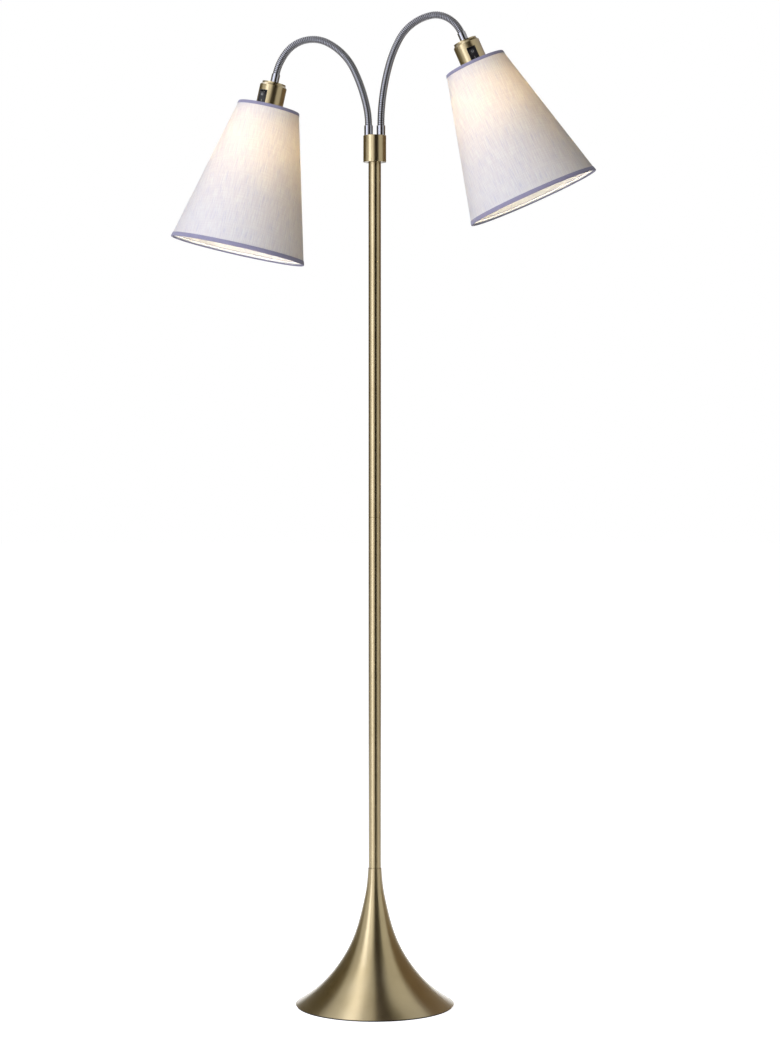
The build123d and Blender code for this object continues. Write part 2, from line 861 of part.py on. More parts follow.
def make_shade(arm, head):
    """Cone of the shade, its two bands, its lower wire ring and its fitter with the upper ring."""
    turn_axis = Axis(head.origin, head.z_dir)
    top = slant_plane(head, shade_top_radius, shade_start)
    bottom = slant_plane(head, shade_bottom_radius, shade_start + shade_height)
    with BuildPart() as cone:
        with BuildSketch(top):
            Rectangle(shade_wall, slant_length, align=(Align.MAX, Align.MIN))
        revolve(axis=turn_axis)
    save(cone, f"{arm.name}_shade_cone")

    make_band(arm, head, top, top_trim_width, 1, "top_band")
    make_band(arm, head, bottom, bottom_trim_width, -1, "bottom_band")

    wire_depth = -(shade_wall + 2 * fit_gap + trim_wall + wire_radius)
    with BuildPart() as ring:
        with BuildSketch(bottom):
            with Locations((wire_depth, -wire_inset)):
                Circle(wire_radius)
        revolve(axis=turn_axis)
    save(ring, f"{arm.name}_lower_ring")

    clamp = spin(
        head,
        (skirt_radius + fit_gap, fitter_end),
        (ring_radius, fitter_end),
        (ring_radius, fitter_end + ring_height),
        (skirt_radius + fit_gap, fitter_end + ring_height),
    )
    save(clamp, f"{arm.name}_shade_ring")

    wire = top.from_local_coords(Vector(wire_depth, wire_inset, 0))
    foot = head.from_local_coords(Vector(spoke_start, 0, flange_end + fitter_height / 2))
    reach = wire - foot
    with BuildPart() as fitter:
        with BuildSketch(head.offset(flange_end)):
            Circle(fitter_radius)
            Circle(skirt_radius + fitter_play, mode=Mode.SUBTRACT)
        extrude(amount=fitter_height)
        with BuildSketch(top):
            with Locations((wire_depth, wire_inset)):
                Circle(wire_radius)
        revolve(axis=turn_axis)
        with BuildPart(mode=Mode.PRIVATE) as spoke:
            with BuildSketch(Plane(origin=foot, z_dir=reach.normalized())):
                Circle(spoke_radius)
            extrude(amount=reach.length)
        for step in range(spoke_count):
            add(spoke.part.rotate(turn_axis, (step + 0.5) * 360 / spoke_count))
    save(fitter, f"{arm.name}_shade_fitter")


# ---------------------------------------------------------------- the whole lamp

make_base_pad()
make_base_shell()
make_base_weight()
make_base_fixings()
make_mains_entry()
make_pole_piece("lower_pole", neck_height, pole_seam)
make_pole_piece("upper_pole", pole_seam, pole_top)
make_pole_fittings()
make_pole_lead()
make_hub()
make_ferrules()

arms = (
    Arm("left", -1, left_stretches, left_window_turn),
    Arm("right", 1, right_stretches, right_window_turn),
)
for arm in arms:
    head = arm.head()
    make_arm_tube(arm)
    make_cover(arm, head)
    make_lampholder(arm, head)
    make_rocker(arm, head)
    make_socket(arm, head)
    make_bulb(arm, head)
    make_shade(arm, head)
    print(arm.name, "holder", head.origin, "lean", round(degrees(arm.lean), 2), "length", round(arm.length, 1))
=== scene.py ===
import bpy
import json
import math
from mathutils import Matrix, Quaternion, Vector


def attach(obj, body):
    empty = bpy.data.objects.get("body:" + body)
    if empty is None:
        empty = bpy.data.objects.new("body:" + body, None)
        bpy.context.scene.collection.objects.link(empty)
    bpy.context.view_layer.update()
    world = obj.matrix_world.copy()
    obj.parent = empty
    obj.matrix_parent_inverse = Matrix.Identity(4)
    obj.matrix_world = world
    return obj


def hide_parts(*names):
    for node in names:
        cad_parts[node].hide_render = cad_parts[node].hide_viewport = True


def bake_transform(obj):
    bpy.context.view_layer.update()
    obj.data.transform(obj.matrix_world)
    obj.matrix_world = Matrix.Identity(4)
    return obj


# Floor lamp with two flexible arms and lit fabric cone shades. The lamp's sizes are in millimetres, and MM turns
# them to Blender's metres. The studio's sizes are in metres. The lamp stands on the floor at the origin and is
# seen from -Y.

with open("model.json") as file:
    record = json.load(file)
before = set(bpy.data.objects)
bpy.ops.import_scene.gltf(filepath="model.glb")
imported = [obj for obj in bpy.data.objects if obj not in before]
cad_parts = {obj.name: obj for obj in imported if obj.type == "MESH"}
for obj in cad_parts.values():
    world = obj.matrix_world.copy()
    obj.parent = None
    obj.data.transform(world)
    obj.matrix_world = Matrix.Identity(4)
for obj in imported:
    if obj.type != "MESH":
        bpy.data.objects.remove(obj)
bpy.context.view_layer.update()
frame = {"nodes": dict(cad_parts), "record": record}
scene = bpy.context.scene
MM = 0.001

# ---------------------------------------------------------------- sizes, most of them the solids' own

ARM_SPREAD = 8.9
FERRULE_TOP = 1273.4
FERRULE_SOCKET = 11.0
TIP_FERRULE = 13.0
TIP_SOCKET = 11.0
SOCKET_GAP = 0.05  # what a gooseneck stops short of the bottoms of its sockets
BEND_PLACES = (70.0, 150.0, 226.0)
LOWEST_BEND = 25.0  # where the lowest bend sets in, above the ferrule
RIB_PITCH = 2.6
RIB_CREST = 5.25
RIB_VALLEY = 4.3
WIRE_SECTION = 12  # flats round the wire
WIRE_STEPS = 24  # flats in each of its turns
LEAD_RADIUS = 2.2
LEAD_START = -30.3  # top of the terminal block in the hub, below the ferrules' tops
LEAD_END = 12.5  # where the lead enters the lampholder, past the top disc
WINDOW_TURNS = {"left": 37.0, "right": 7.0}
SIDES = {"left": -1, "right": 1}
STRETCHES = {  # length and turn in degrees of each stretch of a gooseneck
    "left": ((26.4, 11.8), (57.0, 14.0), (53.7, 36.5), (66.9, 79.6), (35.5, 25.65)),
    "right": ((87.5, 15.4), (39.3, 12.3), (58.7, 49.5), (23.7, 38.3), (30.9, 40.7)),
}
SHADE_START = 35.7
SHADE_HEIGHT = 210.0
SHADE_TOP = 44.2
SHADE_BOTTOM = 97.5
SHADE_WALL = 1.0
SHADE_FLATS = 144
TAPE_WALL = 0.6
TOP_TAPE = 4.0
BOTTOM_TAPE = 5.0
LEAF_STEPS = 3
LEAF_DRAW_IN = 0.86
SEAM_TURN = math.radians(2.5)  # half the lap's turn, for a lap 4 mm wide at the top and 8.5 mm at the bottom
SEAM_WALL = 0.3
SEAM_OUTSIDE = 0.35  # how far the lap's outer face stands off the cloth
ROCKER_PLACE = (16.0, 0.0, 24.5)
ROCKER_LEAN = 8.0
ROCKER_FACE = 4.1
MARK_REACH = 4.6
MARK_LIFT = 0.02
RING_MARK = (1.5, 0.34)  # radius of the O and of its line
RING_FLATTENING = 0.3
TICK_MARK = (0.2, 0.7, 3.4)
TICK_EDGE = 0.08

# ---------------------------------------------------------------- strengths of light

BULB_GLOW = 20.0
CLOTH_PASS = 0.23  # share of the light that goes through the shade's cloth
SEAM_PASS = 0.62  # the lap lies on the shade's own cloth, which has taken its share already
FLOOR_LIFT = 0.84  # the floor's own light, for the rays that show the pale background
SKY = 0.2  # light of the plain sky on the lamp

# ---------------------------------------------------------------- sockets of a Mix node, by their number

FLOAT_A, FLOAT_B = 2, 3
COLOUR_A, COLOUR_B, COLOUR_OUT = 6, 7, 2

# ---------------------------------------------------------------- small helpers


def linear(code):
    """Linear RGBA of an sRGB hex colour."""
    parts = [int(code[i : i + 2], 16) / 255 for i in (0, 2, 4)]
    return (*(c / 12.92 if c <= 0.04045 else ((c + 0.055) / 1.055) ** 2.4 for c in parts), 1.0)


def add(tree, kind, sockets=None, **settings):
    """Adds a node. Settings are its own properties; sockets gives inputs a value, or another node's output."""
    made = tree.nodes.new(kind)
    for name, value in settings.items():
        setattr(made, name, value)
    for name, value in (sockets or {}).items():
        if isinstance(value, bpy.types.NodeSocket):
            tree.links.new(value, made.inputs[name])
        else:
            made.inputs[name].default_value = value
    return made


def new_material(name):
    """Empty node material and its output node."""
    made = bpy.data.materials.new(name)
    made.use_nodes = True
    made.node_tree.nodes.clear()
    return made, made.node_tree, made.node_tree.nodes.new("ShaderNodeOutputMaterial")


def close(tree, output, shader):
    tree.links.new(shader.outputs[0], output.inputs["Surface"])


def deselect():
    if bpy.context.object and bpy.context.object.mode != "OBJECT":
        bpy.ops.object.mode_set(mode="OBJECT")
    bpy.ops.object.select_all(action="DESELECT")


def active(name):
    """Names the object that was just added."""
    made = bpy.context.object
    made.name = name
    made.data.name = name
    return made


def pick(piece):
    deselect()
    piece.select_set(True)
    bpy.context.view_layer.objects.active = piece


def select_where(piece, kind, test):
    """Selects the vertices or faces whose place passes the test, and nothing else, and stays in edit mode."""
    pick(piece)
    bpy.ops.object.mode_set(mode="EDIT")
    bpy.ops.mesh.select_mode(type=kind)
    bpy.ops.mesh.select_all(action="DESELECT")
    bpy.ops.object.mode_set(mode="OBJECT")
    if kind == "FACE":
        for face in piece.data.polygons:
            face.select = test(face.center)
    else:
        for vertex in piece.data.vertices:
            vertex.select = test(vertex.co)
    bpy.ops.object.mode_set(mode="EDIT")


def keep_faces(piece, test):
    """Deletes the faces whose centre doesn't pass the test."""
    select_where(piece, "FACE", lambda centre: not test(centre))
    bpy.ops.mesh.delete(type="FACE")
    bpy.ops.object.mode_set(mode="OBJECT")


def modify(piece, kind, **settings):
    """Adds a modifier and applies it."""
    pick(piece)
    made = piece.modifiers.new(kind.title(), kind)
    for name, value in settings.items():
        setattr(made, name, value)
    bpy.ops.object.modifier_apply(modifier=made.name)


def outward(piece):
    pick(piece)
    bpy.ops.object.mode_set(mode="EDIT")
    bpy.ops.mesh.select_all(action="SELECT")
    bpy.ops.mesh.remove_doubles(threshold=0.000002)
    bpy.ops.mesh.normals_make_consistent(inside=False)
    bpy.ops.object.mode_set(mode="OBJECT")


def settle(piece, place=None):
    """Puts the piece's place into its mesh, so that its object sits at the origin."""
    bpy.context.view_layer.update()
    piece.data.transform((place or Matrix.Identity(4)) @ piece.matrix_world)
    piece.matrix_world = Matrix.Identity(4)
    return piece


def smooth(piece, angle=40):
    pick(piece)
    bpy.ops.object.shade_smooth_by_angle(angle=math.radians(angle))


def unmirrored(piece):
    """Keeps a lit piece out of reflections, where its small warm image would only speckle the brass."""
    piece.visible_glossy = False


def dress(piece, *materials):
    piece.data.materials.clear()
    for material in materials:
        piece.data.materials.append(material)


# ---------------------------------------------------------------- the arms' centrelines


class Arm:
    """Centreline of a gooseneck, measured from the top of its lower ferrule."""

    def __init__(self, name):
        self.name = name
        self.side = SIDES[name]
        self.stretches = STRETCHES[name]
        self.tube = sum(length for length, _ in self.stretches)
        self.length = self.tube + TIP_FERRULE

    def at(self, distance):
        """Place in metres and heading in radians."""
        out = up = heading = 0.0
        if distance < 0:
            up = distance
        left = max(distance, 0.0)
        straight_on = (1000.0, 0.0)
        for length, turn in (*self.stretches, straight_on):
            step = min(left, length)
            if turn:
                radius = length / math.radians(turn)
                after = heading + step / radius
                out += radius * (math.cos(heading) - math.cos(after))
                up += radius * (math.sin(after) - math.sin(heading))
                heading = after
            else:
                out += step * math.sin(heading)
                up += step * math.cos(heading)
            left -= step
            if left <= 0:
                break
        place = Vector((self.side * (ARM_SPREAD + out), 0, FERRULE_TOP + up)) * MM
        return place, heading

    def direction(self, distance):
        heading = self.at(distance)[1]
        return Vector((self.side * math.sin(heading), 0, math.cos(heading)))

    def marks(self, start, end):
        """Distances between start and end where the curvature changes."""
        total, found = 0.0, [start]
        for length in (0.0, *(length for length, _ in self.stretches)):
            total += length
            if start + 0.01 < total < end - 0.01:
                found.append(total)
        return [*found, end]

    def curve(self, start, end):
        """Bezier curve along the centreline, one handle pair for each arc."""
        deselect()
        bpy.ops.curve.primitive_bezier_curve_add(location=(0, 0, 0))
        line = active(f"{self.name}_line")
        line.data.twist_mode = "MINIMUM"
        line.data.resolution_u = 32
        spline = line.data.splines[0]
        marks = self.marks(start, end)
        spline.bezier_points.add(len(marks) - len(spline.bezier_points))
        for point, mark in zip(spline.bezier_points, marks):
            point.handle_left_type = point.handle_right_type = "FREE"
            point.co = point.handle_left = point.handle_right = self.at(mark)[0]
        points = spline.bezier_points
        for first, second, low, high in zip(points, points[1:], marks, marks[1:]):
            turn = self.at(high)[1] - self.at(low)[1]
            reach = (high - low) / 3 if turn < 1e-6 else 4 / 3 * math.tan(turn / 4) * (high - low) / turn
            first.handle_right = first.co + self.direction(low) * reach * MM
            second.handle_left = second.co - self.direction(high) * reach * MM
        return line

    def head(self):
        """Frame of the lampholder: Z along it towards the mouth, X out of its switch window."""
        place, heading = self.at(self.length)
        axis = self.direction(self.length)
        out = Vector((-self.side * math.cos(heading), 0, math.sin(heading)))
        turn = math.radians(WINDOW_TURNS[self.name])
        facing = Vector((0, -1, 0)) * math.cos(turn) + out * math.sin(turn)
        side = axis.cross(facing)
        return Matrix.Translation(place) @ Matrix((facing, side, axis)).transposed().to_4x4()

    def shade(self):
        """Frame of the shade: as the lampholder's, but X faces the viewer."""
        place = self.at(self.length)[0]
        axis = self.direction(self.length)
        facing = Vector((0, -1, 0))
        return Matrix.Translation(place) @ Matrix((facing, axis.cross(facing), axis)).transposed().to_4x4()


# ---------------------------------------------------------------- materials


def axis_in_world(tree, axis):
    """The piece's own axis turned into the world, along which a turned surface smears its reflections."""
    held = add(tree, "ShaderNodeCombineXYZ", {"X": axis[0], "Y": axis[1], "Z": axis[2]})
    turned = add(
        tree,
        "ShaderNodeVectorTransform",
        {"Vector": held.outputs[0]},
        vector_type="VECTOR",
        convert_from="OBJECT",
        convert_to="WORLD",
    )
    return turned.outputs[0]


def antique_brass(name, axis):
    """Steel plated with antique brass, turned and brushed round its axis and lacquered. Brushing leaves rings
    too fine to see one by one, and they smear each reflection along the piece into long soft bands."""
    material, tree, output = new_material(name)
    place = add(tree, "ShaderNodeTexCoord")
    along = add(tree, "ShaderNodeVectorMath", {0: place.outputs["Object"], 1: axis}, operation="DOT_PRODUCT")
    # brush rings of about 0.4 mm, drawn 1.2 mm apart to show
    rings = add(
        tree,
        "ShaderNodeTexNoise",
        {"W": along.outputs["Value"], "Scale": 830.0, "Detail": 2.0, "Roughness": 0.7},
        noise_dimensions="1D",
    )
    # tarnish in soft patches of about 60 mm
    patches = add(
        tree,
        "ShaderNodeTexNoise",
        {"Vector": place.outputs["Object"], "Scale": 16.0, "Detail": 3.0, "Roughness": 0.55},
    )
    tone = add(
        tree, "ShaderNodeMapRange", {"Value": patches.outputs["Fac"], "From Min": 0.35, "From Max": 0.65}
    )
    colour = add(
        tree,
        "ShaderNodeMix",
        {"Factor": tone.outputs[0], COLOUR_A: linear("9b8b64"), COLOUR_B: linear("a5956e")},
        data_type="RGBA",
    )
    worn = add(tree, "ShaderNodeMapRange", {"Value": rings.outputs["Fac"], "To Min": 0.31, "To Max": 0.34})
    shader = add(
        tree,
        "ShaderNodeBsdfPrincipled",
        {
            "Base Color": colour.outputs[COLOUR_OUT],
            "Metallic": 1.0,
            "Roughness": worn.outputs[0],
            "Anisotropic": 0.9,
            "Tangent": axis_in_world(tree, axis),
            "Coat Weight": 1.0,
            "Coat Roughness": 0.25,
        },
    )
    close(tree, output, shader)
    return material


def satin_chrome():
    """Chrome-plated steel wire wound into a gooseneck: bright crests, with painted shade darkening the grooves.
    """
    material, tree, output = new_material("satin_chrome")
    place = add(tree, "ShaderNodeTexCoord")
    film = add(
        tree,
        "ShaderNodeTexNoise",
        {"Vector": place.outputs["Object"], "Scale": 120.0, "Detail": 3.0, "Roughness": 0.6},
    )
    # painted shade: this attribute darkens the chrome to near black towards the valleys between the wire's turns
    groove = add(tree, "ShaderNodeAttribute", attribute_name="groove")
    rough = add(tree, "ShaderNodeMapRange", {"Value": film.outputs["Fac"], "To Min": 0.12, "To Max": 0.24})
    colour = add(
        tree,
        "ShaderNodeMix",
        {"Factor": groove.outputs["Fac"], COLOUR_A: linear("909094"), COLOUR_B: linear("060607")},
        data_type="RGBA",
    )
    shader = add(
        tree,
        "ShaderNodeBsdfPrincipled",
        {"Base Color": colour.outputs[COLOUR_OUT], "Metallic": 1.0, "Roughness": rough.outputs[0]},
    )
    close(tree, output, shader)
    return material


def plated_steel(name, low, high, roughness):
    """Zinc-plated or rolled metal: dull grey with the faint spangle of its plating."""
    material, tree, output = new_material(name)
    place = add(tree, "ShaderNodeTexCoord")
    spangle = add(tree, "ShaderNodeTexVoronoi", {"Vector": place.outputs["Object"], "Scale": 450.0})
    grain = add(tree, "ShaderNodeTexNoise", {"Vector": place.outputs["Object"], "Scale": 900.0, "Detail": 4.0})
    shade = add(
        tree,
        "ShaderNodeMix",
        {"Factor": spangle.outputs["Color"], COLOUR_A: linear(low), COLOUR_B: linear(high)},
        data_type="RGBA",
    )
    rough = add(
        tree,
        "ShaderNodeMapRange",
        {"Value": grain.outputs["Fac"], "To Min": roughness - 0.08, "To Max": roughness + 0.1},
    )
    bump = add(tree, "ShaderNodeBump", {"Height": grain.outputs["Fac"], "Strength": 0.06, "Distance": 0.0001})
    shader = add(
        tree,
        "ShaderNodeBsdfPrincipled",
        {
            "Base Color": shade.outputs[COLOUR_OUT],
            "Metallic": 1.0,
            "Roughness": rough.outputs[0],
            "Normal": bump.outputs[0],
        },
    )
    close(tree, output, shader)
    return material


def moulded(name, low, high, roughness, grain_mm, depth, coat=0.0):
    """Plastic, rubber, paint or powder coat: a plain body colour with the fine grain that its mould or spray
    leaves."""
    material, tree, output = new_material(name)
    place = add(tree, "ShaderNodeTexCoord")
    grain = add(
        tree,
        "ShaderNodeTexNoise",
        {"Vector": place.outputs["Object"], "Scale": 1 / (grain_mm * MM), "Detail": 3.0, "Roughness": 0.6},
    )
    cloud = add(tree, "ShaderNodeTexNoise", {"Vector": place.outputs["Object"], "Scale": 60.0, "Detail": 2.0})
    shade = add(
        tree,
        "ShaderNodeMix",
        {"Factor": cloud.outputs["Fac"], COLOUR_A: linear(low), COLOUR_B: linear(high)},
        data_type="RGBA",
    )
    rough = add(
        tree,
        "ShaderNodeMapRange",
        {"Value": grain.outputs["Fac"], "To Min": roughness - 0.06, "To Max": roughness + 0.08},
    )
    bump = add(tree, "ShaderNodeBump", {"Height": grain.outputs["Fac"], "Strength": depth, "Distance": 0.0002})
    shader = add(
        tree,
        "ShaderNodeBsdfPrincipled",
        {
            "Base Color": shade.outputs[COLOUR_OUT],
            "Roughness": rough.outputs[0],
            "Normal": bump.outputs[0],
            "Coat Weight": coat,
        },
    )
    close(tree, output, shader)
    return material


def opal_glass():
    """Opal glass of a lit bulb: an even warm white that glows, in faint clouds of tint."""
    material, tree, output = new_material("opal_glass")
    place = add(tree, "ShaderNodeTexCoord")
    cloud = add(tree, "ShaderNodeTexNoise", {"Vector": place.outputs["Object"], "Scale": 40.0, "Detail": 2.0})
    glow = add(
        tree,
        "ShaderNodeMix",
        {"Factor": cloud.outputs["Fac"], COLOUR_A: linear("fff4de"), COLOUR_B: linear("fff8ea")},
        data_type="RGBA",
    )
    shader = add(
        tree,
        "ShaderNodeBsdfPrincipled",
        {
            "Base Color": glow.outputs[COLOUR_OUT],
            "Roughness": 0.25,
            "Emission Color": glow.outputs[COLOUR_OUT],
            "Emission Strength": BULB_GLOW,
        },
    )
    close(tree, output, shader)
    return material


def threads(tree, across_mm, along_mm, seed):
    """Noise drawn out along the warp: across_mm between threads and along_mm on each."""
    place = add(tree, "ShaderNodeUVMap", uv_map="cloth")
    scaled = add(
        tree,
        "ShaderNodeMapping",
        {
            "Vector": place.outputs[0],
            "Location": (seed, seed, 0),
            "Scale": (1 / across_mm / MM, 1 / along_mm / MM, 1),
        },
    )
    return add(
        tree,
        "ShaderNodeTexNoise",
        {"Vector": scaled.outputs[0], "Scale": 1.0, "Detail": 2.0, "Roughness": 0.6},
    )


def shade_cloth(name, passing):
    """Slubbed linen on a translucent backing, with the lamp lit behind it. Warp slubs run down the slant and
    hold back the light as fine brown streaks. The cloth is a cool white from outside and warm where light comes
    through."""
    material, tree, output = new_material(name)
    warp = threads(tree, 1.3, 26.0, 0.0)  # linen of about 0.6 mm, drawn coarser to show
    slub = threads(tree, 1.6, 20.0, 3.7)
    weft = threads(tree, 30.0, 1.6, 7.3)
    mixed = add(
        tree, "ShaderNodeMix", {"Factor": 0.3, FLOAT_A: warp.outputs["Fac"], FLOAT_B: weft.outputs["Fac"]}
    )
    weave = add(tree, "ShaderNodeMapRange", {"Value": mixed.outputs[0], "From Min": 0.35, "From Max": 0.65})
    thick = add(tree, "ShaderNodeMapRange", {"Value": slub.outputs["Fac"], "From Min": 0.54, "From Max": 0.72})
    colour = add(
        tree,
        "ShaderNodeMix",
        {"Factor": weave.outputs[0], COLOUR_A: linear("e6e6e5"), COLOUR_B: linear("f1f1ef")},
        data_type="RGBA",
    )
    streaked = add(
        tree,
        "ShaderNodeMix",
        {"Factor": thick.outputs[0], COLOUR_A: colour.outputs[COLOUR_OUT], COLOUR_B: linear("dbd9dd")},
        data_type="RGBA",
    )
    bump = add(tree, "ShaderNodeBump", {"Height": weave.outputs[0], "Strength": 0.25, "Distance": 0.0002})
    cloth = add(
        tree,
        "ShaderNodeBsdfPrincipled",
        {
            "Base Color": streaked.outputs[COLOUR_OUT],
            "Roughness": 0.85,
            "Sheen Weight": 0.15,
            "Sheen Roughness": 0.4,
            "Specular IOR Level": 0.2,
            "Normal": bump.outputs[0],
        },
    )
    # the thinner the thread, the paler its light
    passed = add(
        tree,
        "ShaderNodeMix",
        {"Factor": weave.outputs[0], COLOUR_A: linear("e6be90"), COLOUR_B: linear("f8f6d8")},
        data_type="RGBA",
    )
    soft = add(
        tree, "ShaderNodeBsdfTranslucent", {"Color": passed.outputs[COLOUR_OUT], "Normal": bump.outputs[0]}
    )
    direct = add(
        tree,
        "ShaderNodeBsdfRefraction",
        {"Color": passed.outputs[COLOUR_OUT], "Roughness": 0.75, "IOR": 1.4},
    )
    through = add(tree, "ShaderNodeMixShader", {"Fac": 0.35, 1: soft.outputs[0], 2: direct.outputs[0]})
    # slubs and thick threads let less light through
    stopped = add(tree, "ShaderNodeMapRange", {"Value": thick.outputs[0], "To Min": 1.0, "To Max": 0.4})
    gaps = add(
        tree,
        "ShaderNodeMapRange",
        {"Value": weave.outputs[0], "To Min": passing * 0.7, "To Max": passing * 1.35},
    )
    share = add(tree, "ShaderNodeMath", {0: stopped.outputs[0], 1: gaps.outputs[0]}, operation="MULTIPLY")
    both = add(
        tree, "ShaderNodeMixShader", {"Fac": share.outputs[0], 1: cloth.outputs[0], 2: through.outputs[0]}
    )
    close(tree, output, both)
    return material


def shade_lining():
    """Styrene backing behind the linen: smooth cream white that glows when the lamp is lit."""
    material, tree, output = new_material("shade_lining")
    grain = threads(tree, 4.0, 60.0, 1.9)
    colour = add(
        tree,
        "ShaderNodeMix",
        {"Factor": grain.outputs["Fac"], COLOUR_A: linear("ede4a6"), COLOUR_B: linear("f4edba")},
        data_type="RGBA",
    )
    plain = add(tree, "ShaderNodeBsdfPrincipled", {"Base Color": colour.outputs[COLOUR_OUT], "Roughness": 0.55})
    soft = add(tree, "ShaderNodeBsdfTranslucent", {"Color": linear("fff6e2")})
    direct = add(tree, "ShaderNodeBsdfRefraction", {"Color": linear("fff8ea"), "Roughness": 0.75, "IOR": 1.4})
    through = add(tree, "ShaderNodeMixShader", {"Fac": 0.35, 1: soft.outputs[0], 2: direct.outputs[0]})
    both = add(tree, "ShaderNodeMixShader", {"Fac": 0.27, 1: plain.outputs[0], 2: through.outputs[0]})
    close(tree, output, both)
    return material


def tape_cloth():
    """Bias tape in lavender grey cotton, folded over each edge, with fine slanting ribs."""
    material, tree, output = new_material("bias_tape")
    place = add(tree, "ShaderNodeUVMap", uv_map="cloth")
    ribs = add(
        tree,
        "ShaderNodeTexWave",
        {"Vector": place.outputs[0], "Scale": 520.0, "Distortion": 1.2, "Detail": 2.0, "Detail Scale": 1.5},
        bands_direction="DIAGONAL",
    )
    cloud = threads(tree, 9.0, 9.0, 5.1)
    tone = add(
        tree, "ShaderNodeMix", {"Factor": 0.5, FLOAT_A: ribs.outputs["Fac"], FLOAT_B: cloud.outputs["Fac"]}
    )
    colour = add(
        tree,
        "ShaderNodeMix",
        {"Factor": tone.outputs[0], COLOUR_A: linear("827e93"), COLOUR_B: linear("a8a4b8")},
        data_type="RGBA",
    )
    bump = add(tree, "ShaderNodeBump", {"Height": ribs.outputs["Fac"], "Strength": 0.3, "Distance": 0.0002})
    shader = add(
        tree,
        "ShaderNodeBsdfPrincipled",
        {
            "Base Color": colour.outputs[COLOUR_OUT],
            "Roughness": 0.8,
            "Sheen Weight": 0.25,
            "Specular IOR Level": 0.25,
            "Normal": bump.outputs[0],
        },
    )
    close(tree, output, shader)
    return material


UP = (0.0, 0.0, 1.0)
arms = {name: Arm(name) for name in SIDES}
brass = antique_brass("antique_brass", UP)
head_brass = {
    name: antique_brass(f"antique_brass_{name}", tuple(arm.direction(arm.length))) for name, arm in arms.items()
}
chrome = satin_chrome()
linen = shade_cloth("shade_linen", CLOTH_PASS)
seam_linen = shade_cloth("seam_linen", SEAM_PASS)
lining = shade_lining()
tape = tape_cloth()
mark_paint = moulded("mark_paint", "808080", "909090", 0.5, 0.3, 0.05)
by_slot = {
    "antique_brass": brass,
    "iron": moulded("cast_iron_paint", "26262a", "34343a", 0.6, 1.6, 0.5),
    "pad": moulded("rubber_pad", "131314", "1d1d1f", 0.8, 0.6, 0.35),
    "steel": plated_steel("zinc_plate", "9b9ca0", "c3c3c2", 0.36),
    "chrome": chrome,
    "black_plastic": moulded("black_moulding", "101012", "18181b", 0.36, 0.35, 0.12),
    "cable": moulded("cable_sheath", "17171a", "202024", 0.5, 0.8, 0.15),
    "brass": plated_steel("contact_brass", "c59c4b", "e0bd74", 0.3),
    "cap_metal": plated_steel("rolled_aluminium", "b7b8ba", "d9d9d7", 0.34),
    "opal_glass": opal_glass(),
    "shade_fabric": linen,
    "band_fabric": tape,
    "white_steel": moulded("powder_coat_white", "e4e3de", "efeeea", 0.42, 0.5, 0.2),
}
for part in frame["record"]["subparts"]:
    name, slot = part["node"], part["material_slot"]
    material = by_slot[slot]
    if slot == "antique_brass":
        material = head_brass.get(name.split("_")[0], brass)
    dress(frame["nodes"][name], material)
    if slot in ("opal_glass", "white_steel"):
        unmirrored(frame["nodes"][name])

# ---------------------------------------------------------------- goosenecks


def make_wound_tube(length):
    """Straight gooseneck of one wire wound edge to edge: a half-round rib turned up a screw."""
    deselect()
    bpy.ops.mesh.primitive_circle_add(
        vertices=WIRE_SECTION,
        radius=RIB_PITCH / 2 * MM,
        location=(RIB_VALLEY * MM, 0, 0),
        rotation=(math.radians(90), 0, 0),
    )
    wire = active("wound_tube")
    bpy.ops.object.transform_apply(location=True, rotation=True)
    select_where(wire, "VERT", lambda place: place.x < (RIB_VALLEY - 0.01) * MM)
    bpy.ops.mesh.delete(type="VERT")
    bpy.ops.mesh.select_all(action="SELECT")
    bpy.ops.transform.resize(
        value=((RIB_CREST - RIB_VALLEY) / (RIB_PITCH / 2), 1, 1), center_override=(RIB_VALLEY * MM, 0, 0)
    )
    bpy.ops.object.mode_set(mode="OBJECT")
    turns = int(length / RIB_PITCH) + 3
    modify(
        wire,
        "SCREW",
        axis="Z",
        screw_offset=RIB_PITCH * MM,
        iterations=turns,
        steps=WIRE_STEPS,
        render_steps=WIRE_STEPS,
        use_merge_vertices=True,
        merge_threshold=0.00001,
    )
    outward(wire)
    # painted shade: 1 in the valleys between the turns, 0 on the crests; the chrome darkens with it
    depth = wire.data.attributes.new("groove", "FLOAT", "POINT")
    for vertex in wire.data.vertices:
        out = (math.hypot(vertex.co.x, vertex.co.y) / MM - RIB_VALLEY) / (RIB_CREST - RIB_VALLEY)
        depth.data[vertex.index].value = max(0.0, 1 - out)
    return wire


def slice_at(piece, height, **side):
    """Cuts a straight piece across and closes the cut."""
    pick(piece)
    bpy.ops.object.mode_set(mode="EDIT")
    bpy.ops.mesh.select_all(action="SELECT")
    bpy.ops.mesh.bisect(plane_co=(0, 0, height * MM), plane_no=(0, 0, 1), use_fill=True, **side)
    bpy.ops.object.mode_set(mode="OBJECT")


def copy_of(piece, name):
    made = piece.copy()
    made.data = piece.data.copy()
    made.name = made.data.name = name
    scene.collection.objects.link(made)
    return made


def lay_along(piece, line):
    """Bends a straight piece, which starts at z = 0, along a curve."""
    modify(piece, "CURVE", object=line, deform_axis="POS_Z")


def make_lead(line, name):
    """Lead inside a gooseneck, made of the curve that it follows."""
    line.data.bevel_depth = LEAD_RADIUS * MM
    line.data.bevel_resolution = 3
    line.data.use_fill_caps = True
    pick(line)
    bpy.ops.object.convert(target="MESH")
    lead = active(name)
    outward(lead)
    smooth(lead)
    dress(lead, by_slot["cable"])
    return lead


